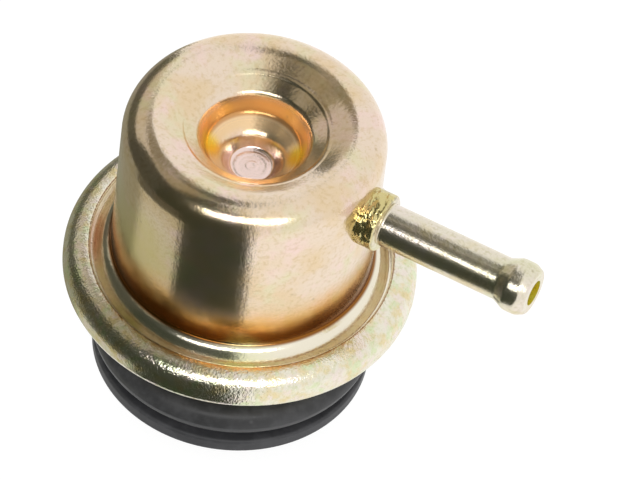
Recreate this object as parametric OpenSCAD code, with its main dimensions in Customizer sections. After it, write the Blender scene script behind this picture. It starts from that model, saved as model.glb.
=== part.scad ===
// Diaphragm fuel pressure regulator for a fuel rail.
// The origin is on the axis, at the flange face that seats on the rail.
// +Z runs up to the spring housing, and +X along the vacuum nipple.

/* [Spring housing] */
// Outside diameter of the cup's wall
cup_d = 29.6; // [28.6:0.2:31]
// Height of the cup's crest above the seating face
cup_h = 26.2; // [26:0.2:29]
// Sheet thickness of the cup
cup_sheet = 1.2; // [1:0.1:1.3]
// Bend radius of the cup's top corner
cup_corner = 3.3; // [3:0.1:3.4]
// Width of the flare at the wall's foot
flare_w = 1.8; // [1.6:0.1:2]
// Height of the flare above the flange
flare_h = 2.1; // [1.9:0.1:2.3]
// Width of the shoulder at the flare's top
step_w = 0.7; // [0.6:0.1:0.8]
// Fall of that shoulder
step_fall = 0.4; // [0.3:0.1:0.5]
// Bend radius of that shoulder
step_bend = 1.5; // [1.3:0.1:1.6]
// Gap between the flare's foot and the crimp lip
lip_gap = 0.4; // [0.3:0.1:0.5]
// Width of the clamped flange under the crimp lip
cup_land = 1.3; // [1.2:0.1:1.4]
// Fall of the dished top, in degrees
dish_angle = 26; // [24:1:28]

/* [Setting dimple] */
// Diameter of the crease where the dimple begins
crease_d = 16.4; // [16:0.2:17]
// Bend radius at the crease
crease_bend = 1.6; // [1.3:0.1:2]
// Diameter of the dimple's mouth
mouth_d = 12.6; // [12.2:0.2:13]
// Depth of the mouth below the crest
mouth_depth = 2.4; // [2.3:0.1:2.6]
// Bend radius at the mouth
mouth_bend = 1.3; // [1:0.1:1.5]
// Diameter of the ledge inside the mouth
ledge_d = 10.8; // [10.4:0.2:11.2]
// Depth of the ledge's outer edge below the crest
ledge_depth = 4.6; // [4.4:0.1:4.8]
// Bend radius in the ledge's corner
ledge_bend = 1; // [0.8:0.1:1.2]
// Diameter of the inner well at the ledge
well_d = 7; // [6.8:0.2:7.2]
// Depth of the well's shoulder below the crest
shoulder_depth = 6; // [5.8:0.1:6.2]
// Bend radius of the well's shoulder
shoulder_bend = 2.6; // [2.2:0.1:2.8]
// Diameter of the well's flat bottom
bottom_d = 5; // [4.6:0.2:5.2]
// Depth of the well's flat bottom below the crest
dimple_depth = 7.6; // [7.4:0.1:8]
// Bend radius round the flat bottom
bottom_bend = 0.6; // [0.4:0.1:0.7]

/* [Vacuum nipple] */
// Drop of the nipple's axis below the cup's crest
nipple_drop = 6.8; // [6.7:0.1:7.6]
// Distance from the regulator's axis to the nipple's tip
nipple_reach = 35.5; // [32:0.5:40]
// Outside diameter of the tube
tube_d = 5; // [4.6:0.1:5.2]
// Bore of the tube
tube_bore = 3; // [2.6:0.1:3.2]
// How far the tube stands into the cup
tube_inside = 0.6; // [0.3:0.1:1]
// Outside diameter of the hose bead
bead_d = 6.2; // [5.8:0.1:6.6]
// Length of the hose bead
bead_len = 3.8; // [3.5:0.1:4.4]
// Length of the ramp from the tube up to the bead
bead_ramp = 1.3; // [1:0.1:1.5]
// Radius that rounds the bead and the neck behind it
bead_round = 1.2; // [0.8:0.1:1.4]
// Length of the taper from the bead to the tip
tip_len = 1; // [0.8:0.1:1.2]
// Diameter of the tip's flat face
tip_d = 5.2; // [4.8:0.1:5.4]
// Outside diameter of the collar at the wall
collar_d = 6.7; // [6.2:0.1:7]
// Length of the collar outside the wall
collar_len = 2.3; // [1.8:0.1:3]

/* [Lower housing] */
// Sheet thickness of the lower housing
base_sheet = 1.1; // [1:0.1:1.2]
// Outer bend radius of the rolled rim
rim_bend = 2.5; // [2.3:0.1:2.8]
// Width of the crimp lip inside that bend
lip_land = 0.5; // [0.5:0.1:0.7]
// Rounding of the crimp lip's edge
lip_round = 0.4; // [0.3:0.1:0.5]
// Depth of the pilot below the seating face
pilot_h = 3.4; // [3:0.2:4]
// Outside diameter of the seal's wall
gland_d = 25.4; // [24.6:0.2:26.4]
// Depth of the floor below the seating face
floor_depth = 12.3; // [12:0.2:14]
// Diameter of the inlet holes
inlet_d = 2.6; // [2:0.2:3]
// Diameter of the circle that the inlet holes lie on
inlet_circle_d = 16; // [15:0.5:17]
// Number of inlet holes
inlet_count = 8; // [6:1:10]

/* [Seals and strainer] */
// Section of the body's O-ring
body_ring_section = 3.5; // [3.2:0.1:3.8]
// Depth of the body's O-ring below the seating face
body_ring_depth = 8; // [7.4:0.1:8.2]
// Section of the stem's O-ring
stem_ring_section = 2.4; // [2.2:0.1:2.6]
// Outside diameter of the strainer's ring
strainer_d = 31.6; // [30.4:0.2:32]
// Height of the strainer's outer wall
strainer_h = 1.8; // [1.6:0.1:2]
// Height of the collar that the O-ring sits on
strainer_collar_h = 1; // [0.8:0.1:1.2]
// Wall of that collar round the housing
strainer_wall = 1.5; // [1.2:0.1:1.8]
// Thickness of the strainer's web
web_t = 0.6; // [0.5:0.1:0.9]
// Number of windows in the web
window_count = 6; // [4:1:8]
// Width of a spoke between two windows, in degrees
spoke_angle = 14; // [10:1:18]
// Thickness of the strainer's mesh
mesh_t = 0.3; // [0.2:0.05:0.4]
// Diameter of the mesh openings
mesh_hole_d = 0.9; // [0.7:0.1:1]
// Rows of mesh openings
mesh_rows = 4; // [3:1:4]

/* [Return stem] */
// Outside diameter of the stem
stem_d = 9.2; // [8.8:0.2:9.8]
// Length of the stem below the floor
stem_len = 9.4; // [9:0.2:12]
// Bore of the return port
return_d = 5; // [4.4:0.2:5.2]
// Diameter of the neck inside the housing
neck_d = 7.8; // [7.6:0.1:8.2]
// Width of the stem's ring groove
groove_w = 2.8; // [2.7:0.1:3]
// Length of the stem's land below the groove
tip_land = 2.7; // [2.2:0.1:3.2]

/* [Valve and diaphragm] */
// Diameter of the valve ball
ball_d = 4; // [3.8:0.1:4.2]
// Diameter of the seat's orifice
orifice_d = 2.6; // [2.4:0.1:2.7]
// Depth of the seat's cone
seat_cone = 0.6; // [0.5:0.1:0.8]
// Diameter of the seat insert
seat_d = 6; // [5.8:0.1:6.2]
// Length of the seat insert
seat_len = 2.5; // [2:0.1:3]
// Thickness of the diaphragm
diaphragm_t = 0.9; // [0.8:0.1:1]
// Height of the diaphragm's convolution
convolution_h = 2.2; // [1.8:0.1:2.4]
// How far the diaphragm's middle hangs below its clamped edge
diaphragm_drop = 2; // [1.8:0.1:2.2]
// Thickness of the pressed plates
plate_t = 1; // [0.8:0.1:1.1]
// Depth of the turned edge of the plate under the diaphragm
support_edge = 1.9; // [1.5:0.1:2.2]
// Diameter of the rivet shank through the plates
shank_d = 4.4; // [4:0.1:4.8]
// Diameter of the valve carrier's body and of its riveted head
carrier_d = 6.8; // [6.4:0.1:7.2]
// Diameter of the carrier's flange
carrier_flange_d = 9; // [8.4:0.2:9.6]
// Thickness of the carrier's flange
carrier_flange_t = 1.2; // [1:0.1:1.4]
// Height of the riveted head
head_h = 1; // [0.8:0.1:1.2]

/* [Main spring] */
// Mean coil diameter
coil_d = 15.2; // [14.6:0.2:15.6]
// Wire diameter
wire_d = 2.2; // [2:0.1:2.3]
// Number of turns, with the closed ends
coil_turns = 5; // [4.5:0.25:5.5]
// Turns that lie closed at each end
closed_turns = 1; // [1:0.25:1.25]
// Height of the spring cup's wall above its floor
spring_cup_h = 3; // [2.4:0.2:3.6]
// Depth of the edge turned down round the upper plate
spring_seat_h = 2.5; // [2.2:0.1:3]

/* [Hidden] */
$fn = 96;

// Angle between two points of a bend
bend_step = 9;
// Inner radius of a tight press bend
tight = 0.2;
// Small radius that takes the edge off a turned or moulded corner
edge = 0.4;
// Clearance of pieces that slip over one another
slip = 0.05;
// Clearance of the pilot's pocket over the body's O-ring
pilot_clear = 0.2;
// Clearance of the spring in its cups
spring_fit = 0.3;
// Gap between a closed turn and the next one
coil_gap = 0.1;
// Height of the wire's axis above its seat where grinding has cut the wire's end
ground_end = 0.2;
// Clearance of the convolution from the walls on both sides
fold_gap = 0.4;
// Gap that keeps the closed ball off its seat
valve_gap = 0.1;

// The clamped stack, from the seating face upwards
clamp_z = base_sheet;
flange_z = clamp_z + diaphragm_t;
flange_top = flange_z + cup_sheet;
rim_top = flange_top + base_sheet;

// The rim is built outwards from the cup's wall
cup_r = cup_d / 2;
foot_r = cup_r + flare_w;
lip_r = foot_r + lip_gap;
clamp_r = lip_r + cup_land;
rim_r = lip_r + lip_land + rim_bend;
base_bend = base_sheet + tight;

// The flare, the dished top and its dimple
flare_z = flange_top + flare_h;
corner_z = cup_h - cup_corner + cup_corner * cos(dish_angle) / (1 - sin(dish_angle));
crease_z = corner_z - (cup_r - crease_d / 2) * tan(dish_angle);
dimple_z = cup_h - dimple_depth;
nipple_z = cup_h - nipple_drop;

// The seal's wall and pilot
gland_r = gland_d / 2;
body_ring_r = gland_r + body_ring_section / 2;
body_ring_z = -body_ring_depth;
pilot_r = gland_r + body_ring_section + pilot_clear;
floor_z = -floor_depth;

// The strainer hangs under the floor, with its collar under the O-ring
strainer_r = strainer_d / 2;
collar_top = body_ring_z - body_ring_section / 2 - slip;
ring_top = collar_top - strainer_collar_h;
ring_bottom = ring_top - strainer_h;
mesh_top = floor_z - mesh_t;
web_top = mesh_top - mesh_t;
web_bottom = web_top - web_t;
web_margin = strainer_wall / 2;
stem_r = stem_d / 2;
hub_r = stem_r + slip;
window_in = hub_r + strainer_wall;
window_out = gland_r - web_margin;

// The stem and its ring
foot_z = floor_z - stem_len;
groove_z = foot_z + tip_land;
groove_r = stem_r - stem_ring_section / 2;
stem_ring_z = groove_z + groove_w / 2;
neck_r = neck_d / 2;

// The spring stands between the plate under the dimple and the cup on the diaphragm
middle_z = flange_z - diaphragm_drop;
spring_top = dimple_z - cup_sheet - plate_t;
spring_bottom = middle_z + plate_t;
coil_r = coil_d / 2;
plate_r = coil_r + wire_d / 2 + spring_fit + plate_t;
plate_bend = plate_t + tight;
shank_r = shank_d / 2;

// The valve hangs under the diaphragm: the ball meets a cone of 45 degrees
support_top = middle_z - diaphragm_t;
support_z = support_top - plate_t;
ball_r = ball_d / 2;
ball_z = support_z - carrier_flange_t - ball_r;
cone_z = ball_z - (ball_d + valve_gap * 2) * cos(45) + orifice_d / 2;
seat_top = cone_z + seat_cone;
seat_bottom = seat_top - seat_len;
carrier_nose = ball_z - ball_r / 4;

// Unit vector from corner a to corner b
function along(a, b) =
    let (v = [b[0] - a[0], b[1] - a[1]])
    v / norm(v);

// A vector turned a quarter turn to the left
function left(d) = [-d[1], d[0]];

// A vector turned by an angle
function turned(v, angle) = [
    v[0] * cos(angle) - v[1] * sin(angle),
    v[0] * sin(angle) + v[1] * cos(angle)
];

// The bend at corner b of a path, on the face that lies t to the left of the path
function bend(a, b, c, t) =
    let (
        d1 = along(a, b),
        d2 = along(b, c),
        angle = atan2(d1[0] * d2[1] - d1[1] * d2[0], d1 * d2),
        side = angle < 0 ? -1 : 1,
        miter = (left(d1) + left(d2)) / (1 + d1 * d2),
        corner = [b[0], b[1]],
        radius = len(b) > 2 ? b[2] : 0,
        centre = corner + side * radius * miter,
        rho = radius - side * t,
        steps = ceil(abs(angle) / bend_step)
    )
    rho <= 0
        ? [corner + t * miter]
        : [for (k = [0:steps]) centre - side * rho * turned(left(d1), angle * k / steps)];

// One face of a path of corners [radius, height, bend radius], t to its left.
// A corner with no bend radius stays sharp.
function face(corners, t = 0) =
    let (last = len(corners) - 1)
    [
        for (i = [0:last])
            each i == 0
                ? [[corners[0][0], corners[0][1]] + t * left(along(corners[0], corners[1]))]
                : i == last
                    ? [[corners[i][0], corners[i][1]] + t * left(along(corners[i - 1], corners[i]))]
                    : bend(corners[i - 1], corners[i], corners[i + 1], t)
    ];

// A pressed sheet: the corners follow its outer face, with the sheet on their left.
// The outer edge at its end is rounded by tip.
module pressed(corners, t, tip = 0) {
    inner = face(corners, t);
    last = len(inner) - 1;
    end = corners[len(corners) - 1];
    path = [for (i = [0:len(corners) - 2]) corners[i]];
    outer = face(concat(path, [[end[0], end[1], tip], inner[last]]));
    back = [for (i = [last - 1:-1:0]) inner[i]];
    rotate_extrude() polygon(concat(outer, back));
}

// A turned or moulded piece: the corners follow its outline
module turned_piece(corners) {
    rotate_extrude() polygon(face(corners));
}

// A ring of round section
module o_ring(r, section, z) {
    translate([0, 0, z])
        rotate_extrude() translate([r, 0]) circle(d = section);
}

// Cup that holds the spring, with the setting dimple pressed into its top
module spring_housing() {
    color("#d9c37a")
        difference() {
            pressed([
                [clamp_r, flange_z],
                [clamp_r, flange_top, cup_sheet - tight],
                [foot_r, flange_top, edge],
                [cup_r + step_w, flare_z - step_fall, step_bend],
                [cup_r, flare_z, edge],
                [cup_r, corner_z, cup_corner],
                [crease_d / 2, crease_z, crease_bend],
                [mouth_d / 2, cup_h - mouth_depth, mouth_bend],
                [ledge_d / 2, cup_h - ledge_depth, ledge_bend],
                [well_d / 2, cup_h - shoulder_depth, shoulder_bend],
                [bottom_d / 2, dimple_z, bottom_bend],
                [0, dimple_z]
            ], cup_sheet);
            translate([cup_r - 2 * cup_sheet, 0, nipple_z])
                rotate([0, 90, 0]) cylinder(d = tube_d, h = 4 * cup_sheet);
        }
}

// Beaded tube brazed into the cup's wall, with a collar that saddles the wall
module vacuum_nipple() {
    bead_root = nipple_reach - bead_len;
    color("#dccb8c")
        translate([0, 0, nipple_z]) rotate([0, 90, 0]) union() {
            turned_piece([
                [tube_bore / 2, cup_r - cup_sheet - tube_inside],
                [tube_d / 2, cup_r - cup_sheet - tube_inside],
                [tube_d / 2, bead_root, bead_round],
                [bead_d / 2, bead_root + bead_ramp, bead_round],
                [bead_d / 2, nipple_reach - tip_len, bead_round],
                [tip_d / 2, nipple_reach, edge],
                [tube_bore / 2, nipple_reach]
            ]);
            difference() {
                turned_piece([
                    [tube_d / 2, cup_r / 2],
                    [collar_d / 2, cup_r / 2],
                    [collar_d / 2, cup_r + collar_len, edge],
                    [tube_d / 2, cup_r + collar_len]
                ]);
                rotate([0, 90, 0]) cylinder(r = cup_r, h = cup_h, center = true);
            }
        }
}

// Drawn housing: inlet floor, seal wall, pilot, flange and the rim rolled over the cup's flange
module lower_housing() {
    color("#d6c486")
        difference() {
            pressed([
                [neck_r, floor_z],
                [gland_r, floor_z, base_bend],
                [gland_r, -pilot_h, edge],
                [pilot_r, -pilot_h, base_bend],
                [pilot_r, 0],
                [rim_r, 0, base_bend],
                [rim_r, rim_top, rim_bend],
                [lip_r, rim_top]
            ], base_sheet, lip_round);
            for (i = [0:inlet_count - 1])
                rotate(i * 360 / inlet_count)
                    translate([inlet_circle_d / 2, 0, floor_z - base_sheet])
                        cylinder(d = inlet_d, h = 3 * base_sheet);
        }
}

// Turned stem that returns the fuel: its neck stands in the housing and carries the seat
module return_stem() {
    color("#c9c4b4")
        turned_piece([
            [return_d / 2, foot_z],
            [stem_r, foot_z, edge],
            [stem_r, groove_z],
            [groove_r, groove_z],
            [groove_r, groove_z + groove_w],
            [stem_r, groove_z + groove_w],
            [stem_r, floor_z],
            [neck_r, floor_z],
            [neck_r, seat_top, edge],
            [seat_d / 2, seat_top],
            [seat_d / 2, seat_bottom],
            [return_d / 2, seat_bottom]
        ]);
}

// Seat insert pressed into the neck, with a cone for the ball
module valve_seat() {
    color("#b8923f")
        turned_piece([
            [orifice_d / 2, seat_bottom],
            [seat_d / 2, seat_bottom],
            [seat_d / 2, seat_top],
            [orifice_d / 2 + seat_cone, seat_top],
            [orifice_d / 2, cone_z]
        ]);
}

// Large ring that seals the pocket
module body_o_ring() {
    color("#3a3a3c") o_ring(body_ring_r, body_ring_section, body_ring_z);
}

// Small ring that seals the return
module stem_o_ring() {
    color("#3a3a3c") o_ring(groove_r + stem_ring_section / 2, stem_ring_section, stem_ring_z);
}

// Moulded ring under the seal, with a windowed web below the inlet holes
module strainer_frame() {
    color("#47484b")
        difference() {
            turned_piece([
                [gland_r + slip, collar_top],
                [gland_r + slip, web_top],
                [hub_r, web_top],
                [hub_r, web_bottom],
                [gland_r + web_margin, web_bottom, edge],
                [gland_r + web_margin, ring_bottom, edge],
                [strainer_r, ring_bottom, edge],
                [strainer_r, ring_top, edge],
                [gland_r + strainer_wall, ring_top, edge],
                [gland_r + strainer_wall, collar_top]
            ]);
            for (i = [0:window_count - 1])
                rotate(i * 360 / window_count + spoke_angle / 2)
                    translate([0, 0, web_bottom - web_t])
                        rotate_extrude(angle = 360 / window_count - spoke_angle)
                            translate([window_in, 0]) square([window_out - window_in, 3 * web_t]);
        }
}

// Screen lying on the web, with its openings in rows across each window
module strainer_mesh() {
    row_in = window_in + mesh_hole_d;
    row_step = (window_out - mesh_hole_d - row_in) / (mesh_rows - 1);
    color("#b9b7ad")
        translate([0, 0, web_top])
            difference() {
                cylinder(r = gland_r, h = mesh_t);
                translate([0, 0, -mesh_t]) cylinder(r = hub_r, h = 3 * mesh_t);
                for (row = [0:mesh_rows - 1], i = [0:window_count - 1], k = [0:row + 2])
                    rotate((i + 0.5 + (k - (row + 2) / 2) / (row + 4)) * 360 / window_count)
                        translate([row_in + row * row_step, 0, -mesh_t])
                            cylinder(d = mesh_hole_d, h = 3 * mesh_t);
            }
}

// Plate between the dimple and the spring
module spring_seat() {
    color("#b9b39b")
        pressed([
            [plate_r, spring_top + plate_t - spring_seat_h],
            [plate_r, spring_top + plate_t, plate_bend],
            [0, spring_top + plate_t]
        ], plate_t);
}

// Height of the wire's axis after a number of turns: closed, open and closed again
function coil_z(turn) =
    let (
        open_end = coil_turns - closed_turns,
        closed_pitch = wire_d + coil_gap,
        low = spring_bottom + ground_end,
        closed_rise = closed_turns * closed_pitch,
        open_rise = spring_top - spring_bottom - 2 * (ground_end + closed_rise),
        share = (turn - closed_turns) / (open_end - closed_turns)
    )
    low
        + min(turn, closed_turns) * closed_pitch
        + open_rise * min(1, max(0, share))
        + max(0, turn - open_end) * closed_pitch;

// Round wire swept along the coil, with its end faces ground to the seats
module main_spring() {
    sides = 10;
    steps_per_turn = 24;
    count = round(coil_turns * steps_per_turn);
    points = [
        for (i = [0:count], s = [0:sides - 1])
            let (
                turn = i / steps_per_turn,
                around = s * 360 / sides,
                r = coil_r + wire_d / 2 * cos(around),
                z = coil_z(turn) + wire_d / 2 * sin(around)
            )
            [r * cos(360 * turn), r * sin(360 * turn), min(spring_top, max(spring_bottom, z))]
    ];
    skin = [
        for (i = [0:count - 1], s = [0:sides - 1])
            let (n = (s + 1) % sides)
            [i * sides + s, i * sides + n, (i + 1) * sides + n, (i + 1) * sides + s]
    ];
    crest = round(sides / 4);
    root = crest + sides / 2;
    last = count * sides;
    ends = [
        for (s = [1:sides - 2])
            each [
                [crest, (crest + s + 1) % sides, (crest + s) % sides],
                [last + root, last + (root + s) % sides, last + (root + s + 1) % sides]
            ]
    ];
    color("#8f9296") polyhedron(points = points, faces = concat(skin, ends));
}

// Cup that carries the spring on the diaphragm
module spring_cup() {
    color("#b9b39b")
        pressed([
            [shank_r, middle_z],
            [plate_r, middle_z, plate_bend],
            [plate_r, spring_bottom + spring_cup_h]
        ], plate_t);
}

// Reinforced rubber disc, clamped in the rim and between the plates
module diaphragm() {
    crown_z = flange_z + convolution_h;
    crown_out = cup_r - cup_sheet - fold_gap;
    foot_in = plate_r + fold_gap;
    color("#4a3f38")
        pressed([
            [clamp_r, flange_z],
            [cup_r, flange_z, edge],
            [crown_out, crown_z, diaphragm_t + tight],
            [foot_in + diaphragm_t, crown_z, diaphragm_t + tight],
            [foot_in, middle_z, edge],
            [shank_r, middle_z]
        ], diaphragm_t);
}

// Plate under the diaphragm
module diaphragm_support() {
    color("#b9b39b")
        pressed([
            [plate_r, support_top - support_edge],
            [plate_r, support_top, plate_bend],
            [shank_r, support_top]
        ], plate_t);
}

// Rivet through the plates, with the ball swaged into its nose
module valve_carrier() {
    body_r = carrier_d / 2;
    nose_round = head_h - tight;
    color("#c8a55a")
        difference() {
            turned_piece([
                [0, carrier_nose],
                [body_r, carrier_nose, nose_round],
                [body_r, support_z - carrier_flange_t],
                [carrier_flange_d / 2, support_z - carrier_flange_t, edge],
                [carrier_flange_d / 2, support_z],
                [shank_r, support_z],
                [shank_r, spring_bottom],
                [body_r, spring_bottom],
                [body_r, spring_bottom + head_h, nose_round],
                [0, spring_bottom + head_h]
            ]);
            translate([0, 0, ball_z]) sphere(r = ball_r);
        }
}

// Ball that closes the seat
module valve_ball() {
    color("#c9ccd0") translate([0, 0, ball_z]) sphere(r = ball_r);
}

spring_housing();
vacuum_nipple();
lower_housing();
return_stem();
valve_seat();
body_o_ring();
stem_o_ring();
strainer_frame();
strainer_mesh();
spring_seat();
main_spring();
spring_cup();
diaphragm();
diaphragm_support();
valve_carrier();
valve_ball();
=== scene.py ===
"""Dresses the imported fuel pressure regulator.

Fine skins stand for the pressed and turned pieces, every piece gets a procedural finish,
and a pale studio lights the part from the photograph's angle.
"""
import logging
import math
from dataclasses import dataclass
from enum import Enum
from functools import cache, cached_property
from typing import Any, Dict, List, Optional, Sequence, Tuple, Union

import bmesh
import bpy
from mathutils import Matrix, Vector


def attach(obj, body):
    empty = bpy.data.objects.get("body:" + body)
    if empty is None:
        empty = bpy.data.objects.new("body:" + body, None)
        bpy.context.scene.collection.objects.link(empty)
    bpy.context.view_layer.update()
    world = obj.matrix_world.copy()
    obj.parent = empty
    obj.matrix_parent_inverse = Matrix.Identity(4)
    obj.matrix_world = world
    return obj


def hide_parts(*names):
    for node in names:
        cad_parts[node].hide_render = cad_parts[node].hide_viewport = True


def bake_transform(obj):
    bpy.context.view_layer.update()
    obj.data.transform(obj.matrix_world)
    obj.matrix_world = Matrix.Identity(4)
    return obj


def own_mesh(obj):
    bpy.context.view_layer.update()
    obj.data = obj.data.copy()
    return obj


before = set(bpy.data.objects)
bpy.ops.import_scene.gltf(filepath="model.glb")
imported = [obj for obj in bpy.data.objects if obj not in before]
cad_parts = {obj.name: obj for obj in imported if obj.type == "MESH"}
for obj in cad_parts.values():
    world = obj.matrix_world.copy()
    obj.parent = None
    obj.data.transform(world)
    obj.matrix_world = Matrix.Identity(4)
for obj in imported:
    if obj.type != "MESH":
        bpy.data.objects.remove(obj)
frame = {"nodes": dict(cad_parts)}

LOG = logging.getLogger("regulator")
MM = 0.001
TINY = 1e-6
FILLET = 0.4
INNER_BEND = 0.2
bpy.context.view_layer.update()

Point = Tuple[float, float]
Corner = Tuple[float, ...]
Triple = Tuple[float, float, float]
Limits = Tuple[float, float, float, float]
Colour = Triple
Object = bpy.types.Object
Mesh = bpy.types.Mesh
Material = bpy.types.Material
Tree = bpy.types.NodeTree
Node = bpy.types.Node
Socket = bpy.types.NodeSocket

WHITE: Colour = (1.0, 1.0, 1.0)
BLACK: Colour = (0.0, 0.0, 0.0)


class Body(Enum):
    """The bodies that the pieces ride on."""

    CASING = "casing"
    VALVE = "valve_group"


class Slot(Enum):
    """The record's material slots that the skins are listed under."""

    ZINC = "yellow_zinc"
    SPRING = "spring_steel"
    SEAL = "seal_rubber"
    DIAPHRAGM = "diaphragm_rubber"


class Along(Enum):
    """The measures that a band can run along."""

    RADIUS = "Radius"
    HEIGHT = "Height"


class Profile:
    """Corner paths in millimetres, bent as a pressed sheet bends."""

    BEND_STEP = math.radians(5)
    REACH = 0.9

    @staticmethod
    def along(a: Sequence[float], b: Sequence[float]) -> Vector:
        """Unit vector from corner a to corner b."""
        return Vector((b[0] - a[0], b[1] - a[1])).normalized()

    @staticmethod
    def left(d: Vector) -> Vector:
        """A vector turned a quarter turn to the left."""
        return Vector((-d.y, d.x))

    @classmethod
    def bend(cls, a: Corner, b: Corner, c: Corner, depth: float) -> List[Vector]:
        """Points of the bend at corner b.

        Args:
            a: The corner before.
            b: The corner, with its bend radius as third value.
            c: The corner after.
            depth: Distance of the face to the left of the path.

        Returns:
            The points of the bend on that face.
        """
        d1 = cls.along(a, b)
        d2 = cls.along(b, c)
        angle = math.atan2(d1.x * d2.y - d1.y * d2.x, d1.dot(d2))
        side = -1.0 if angle < 0 else 1.0
        miter = (cls.left(d1) + cls.left(d2)) / (1 + d1.dot(d2))
        corner = Vector((b[0], b[1]))
        radius = b[2] if len(b) > 2 else 0.0
        rho = radius - side * depth
        if rho <= TINY:
            return [corner + depth * miter]
        centre = corner + side * radius * miter
        steps = max(1, math.ceil(abs(angle) / cls.BEND_STEP))
        spoke = cls.left(d1)
        return [
            centre - side * rho * (Matrix.Rotation(angle * k / steps, 2) @ spoke)
            for k in range(steps + 1)
        ]

    @classmethod
    def face(cls, corners: Sequence[Corner], depth: float = 0.0) -> List[Point]:
        """One face of a path, with no stretch longer than REACH.

        Args:
            corners: Radius, height and an optional bend radius each.
            depth: Distance of the face to the left of the path.

        Returns:
            The face's points, from the path's start to its end.
        """
        first = cls.left(cls.along(corners[0], corners[1])) * depth
        last = cls.left(cls.along(corners[-2], corners[-1])) * depth
        points = [Vector(corners[0][:2]) + first]
        for a, b, c in zip(corners, corners[1:], corners[2:]):
            points += cls.bend(a, b, c, depth)
        points.append(Vector(corners[-1][:2]) + last)
        out: List[Point] = []
        for a, b in zip(points, points[1:]):
            parts = max(1, math.ceil((b - a).length / cls.REACH))
            out += [tuple(a.lerp(b, k / parts)) for k in range(parts)]
        return [*out, tuple(points[-1])]

    @classmethod
    def sheet(cls, corners: Sequence[Corner], thickness: float, tip: float = 0.0) -> List[Point]:
        """Outline of a sheet.

        Args:
            corners: Corners of its outer face, with the sheet on their left.
            thickness: The sheet's thickness.
            tip: Rounding of the outer edge at the sheet's end.

        Returns:
            The outline's points.
        """
        inner = cls.face(corners, thickness)
        end = (corners[-1][0], corners[-1][1], tip)
        return cls.face([*corners[:-1], end, inner[-1]]) + inner[-2::-1]


class Maker:
    """Makes mesh objects from profiles and sweeps."""

    SHARP = math.radians(34)
    WELD = 1e-7

    @staticmethod
    def link(name: str, data: bpy.types.ID) -> Object:
        """Makes an object and puts it in the scene.

        Args:
            name: The object's name.
            data: Its mesh, camera or light.

        Returns:
            The new object.
        """
        obj = bpy.data.objects.new(name, data)
        bpy.context.scene.collection.objects.link(obj)
        return obj

    @classmethod
    def finish_mesh(cls, name: str, verts: List[Vector], faces: List[List[int]]) -> Object:
        """Makes a smooth object with clean outward faces.

        Args:
            name: The object's name.
            verts: Points in millimetres.
            faces: Point numbers of each face.

        Returns:
            The new object.
        """
        mesh = bpy.data.meshes.new(name)
        mesh.from_pydata([v * MM for v in verts], [], faces)
        bm = bmesh.new()
        bm.from_mesh(mesh)
        bmesh.ops.remove_doubles(bm, verts=bm.verts, dist=cls.WELD)
        bmesh.ops.recalc_face_normals(bm, faces=bm.faces)
        bm.to_mesh(mesh)
        bm.free()
        obj = cls.link(name, mesh)
        cls.smooth(obj)
        return obj

    @classmethod
    def smooth(cls, obj: Object) -> None:
        """Shades a piece smooth, with creases kept sharp."""
        obj.data.polygons.foreach_set("use_smooth", [True] * len(obj.data.polygons))
        obj.data.set_sharp_from_angle(angle=cls.SHARP)

    @classmethod
    def lathe(cls, name: str, outline: Sequence[Point], segments: int = 224) -> Object:
        """Turns a closed outline round the Z axis.

        Args:
            name: The object's name.
            outline: Radius and height of each point, in millimetres.
            segments: Number of steps round the axis.

        Returns:
            The new object.
        """
        verts: List[Vector] = []
        rings: List[List[int]] = []
        for r, z in outline:
            start = len(verts)
            if r < TINY:
                verts.append(Vector((0, 0, z)))
                rings.append([start] * segments)
                continue
            for k in range(segments):
                t = 2 * math.pi * k / segments
                verts.append(Vector((r * math.cos(t), r * math.sin(t), z)))
            rings.append(list(range(start, start + segments)))
        faces: List[List[int]] = []
        for i, ring in enumerate(rings):
            after = rings[(i + 1) % len(rings)]
            for k in range(segments):
                n = (k + 1) % segments
                corner = [ring[k], ring[n], after[n], after[k]]
                face = [v for j, v in enumerate(corner) if v != corner[j - 1]]
                if len(face) > 2:
                    faces.append(face)
        return cls.finish_mesh(name, verts, faces)

    @classmethod
    def rod(cls, name: str, radius: float, span: Point, segments: int) -> Object:
        """A round rod along the Z axis, from one height to another."""
        low, high = span
        return cls.lathe(name, [(0, low), (radius, low), (radius, high), (0, high)], segments)

    @classmethod
    def carve(cls, obj: Object, cutter: Object) -> None:
        """Cuts the cutter out of a piece and deletes the cutter.

        Args:
            obj: The piece.
            cutter: The object that is cut out of it.
        """
        cut = obj.modifiers.new("cut", "BOOLEAN")
        cut.operation = "DIFFERENCE"
        cut.solver = "EXACT"
        cut.object = cutter
        graph = bpy.context.evaluated_depsgraph_get()
        whole = obj.data
        obj.data = bpy.data.meshes.new_from_object(obj.evaluated_get(graph))
        obj.modifiers.clear()
        name = whole.name
        bpy.data.meshes.remove(whole)
        obj.data.name = name
        spent = cutter.data
        bpy.data.objects.remove(cutter)
        bpy.data.meshes.remove(spent)
        cls.smooth(obj)


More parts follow.
